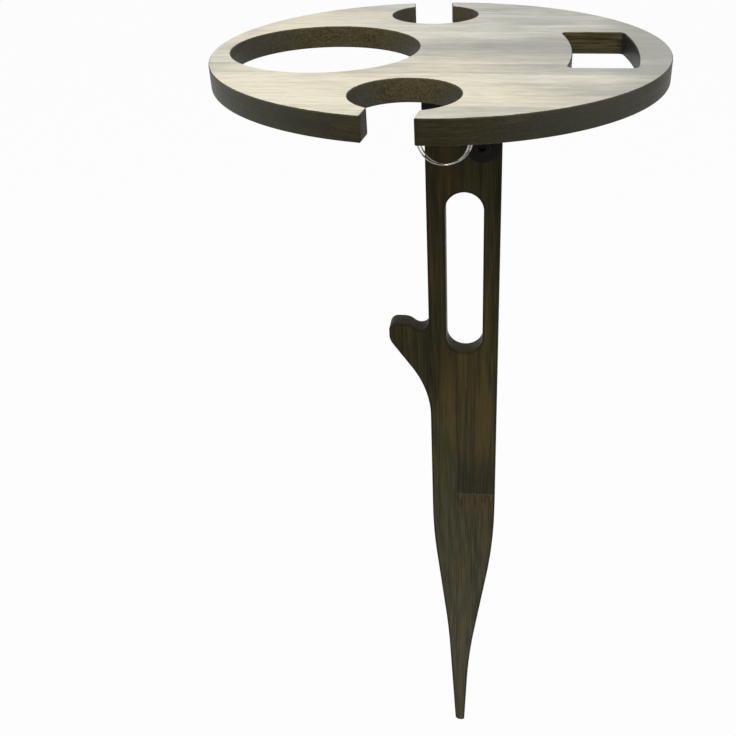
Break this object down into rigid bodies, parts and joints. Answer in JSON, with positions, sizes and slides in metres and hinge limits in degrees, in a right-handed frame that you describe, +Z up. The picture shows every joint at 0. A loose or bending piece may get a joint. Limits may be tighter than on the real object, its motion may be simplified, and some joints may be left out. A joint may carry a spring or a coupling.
{
  "type": "wine table",
  "caption": "Round wooden wine table on a ground stake, with a bottle hole, glass keyholes and a hand hole; the top folds on a pivot bolt and locks with a ring pin.",
  "frame": {"origin": "the stake's point, on the middle plane of the stake", "axes": "+Z up along the stake, +X towards the hand hole in the top, +Y away from the face that carries the pull ring"},
  "size_m": [0.32, 0.32, 0.7294],
  "materials": {
    "top_board": "pale washed bamboo face over dark stained edges, satin",
    "stake_board": "dark brown stained bamboo, satin",
    "black_steel": "black powder coat",
    "black_bolt": "black oxide",
    "zinc_steel": "bright zinc",
    "nylon": "natural nylon",
    "bronze": "turned bronze",
    "ring_chrome": "polished nickel"
  },
  "bodies": {
    "stake": {"stake": "stake_board", "pivot_bush": "bronze", "lock_bush": "bronze"},
    "top": {"table_top": "top_board", "front_bracket": "black_steel", "rear_bracket": "black_steel", "bracket_screws": "zinc_steel", "pivot_bolt": "black_bolt", "pivot_washer": "zinc_steel", "pivot_nut": "zinc_steel", "friction_washers": "nylon", "pin_guide": "black_steel"},
    "pin": {"lock_pin": "black_bolt"},
    "ring": {"pull_ring": "ring_chrome"}
  },
  "joints": [
    {"name": "top_fold", "type": "hinge", "parent": "stake", "child": "top", "pos_m": [0.0187, 0, 0.6619], "axis": [0, 1, 0], "range_deg": [0, 90]},
    {"name": "pin_slide", "type": "slide", "parent": "top", "child": "pin", "axis": [0, 1, 0], "range_m": [-0.012, 0.02]},
    {"name": "ring_swing", "type": "hinge", "parent": "pin", "child": "ring", "pos_m": [-0.0066, -0.0425, 0.6957], "axis": [-1, 0, 0], "range_deg": [-5, 100]}
  ]
}
